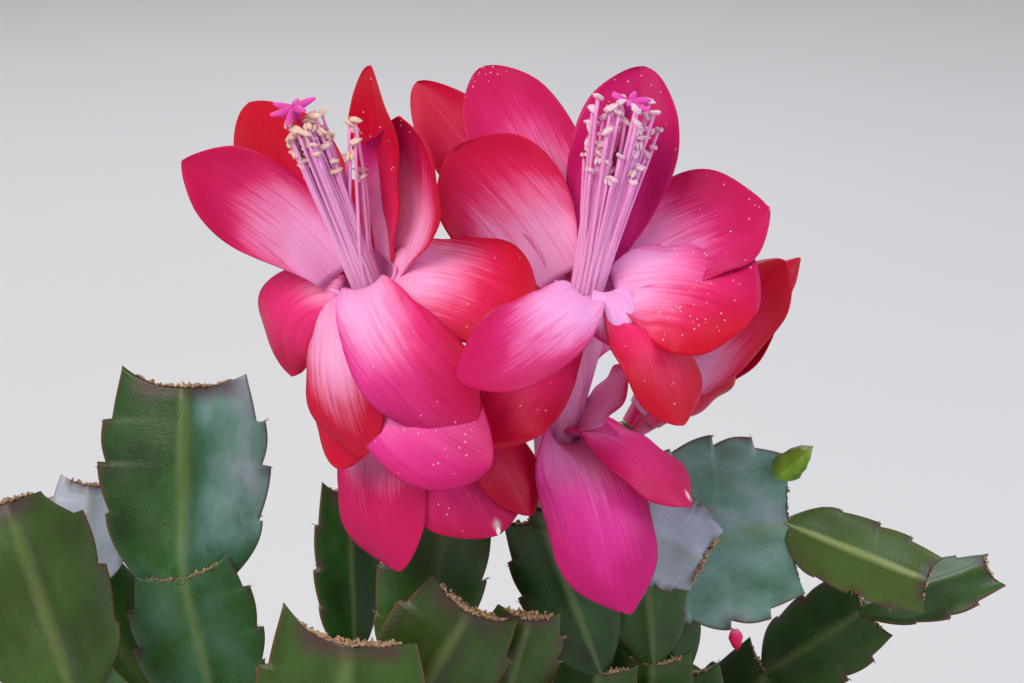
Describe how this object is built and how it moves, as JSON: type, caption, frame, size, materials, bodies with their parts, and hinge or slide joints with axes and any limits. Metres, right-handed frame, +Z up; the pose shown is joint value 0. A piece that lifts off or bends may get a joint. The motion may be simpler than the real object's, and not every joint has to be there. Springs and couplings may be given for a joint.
{
  "type": "potted christmas cactus",
  "caption": "Christmas cactus in bloom in a plain terracotta pot: a crown of flat toothed stem joints, open pink-red layered flowers with tufts of stamens, and a bud.",
  "frame": {"origin": "centre of the pot's flat underside", "axes": "+Z up out of the pot; -Y towards the faces of the open flowers; +X to the right seen from there"},
  "size_m": [0.2418, 0.2429, 0.287],
  "materials": {
    "terracotta": "unglazed fired clay, matt",
    "soil": "moist peat potting mix, rough",
    "stem_green": "waxy succulent skin, satin",
    "young_green": "young waxy skin, satin",
    "petal_pink": "soft satin petal, pink to red",
    "filament_pink": "soft translucent thread with cream pollen ends",
    "stigma_magenta": "soft satin",
    "bud_red": "soft satin petal, red"
  },
  "bodies": {
    "root": {"pot": "terracotta", "soil": "soil", "stem_left_upright": "stem_green", "stem_left_front": "stem_green", "stem_left_back": "stem_green", "stem_front_horned": "stem_green", "stem_front_corky": "stem_green", "stem_flower_left": "stem_green", "stem_middle_back": "stem_green", "stem_middle_brown": "stem_green", "stem_flower_right": "stem_green", "stem_right_pale": "stem_green", "stem_right_large": "stem_green", "stem_right_far": "stem_green", "stem_bud": "stem_green", "stem_fan_1": "stem_green", "stem_fan_2": "stem_green", "stem_fan_3": "stem_green", "stem_fan_4": "stem_green", "stem_fan_5": "stem_green", "stem_fan_6": "stem_green", "stem_fan_7": "stem_green", "flower_left_petals": "petal_pink", "flower_left_stamens": "filament_pink", "flower_left_style": "stigma_magenta", "flower_left_ovary": "young_green", "flower_right_petals": "petal_pink", "flower_right_stamens": "filament_pink", "flower_right_style": "stigma_magenta", "flower_right_ovary": "young_green", "bud_petals": "bud_red", "bud_ovary": "young_green", "bud_small": "bud_red"}
  },
  "joints": []
}
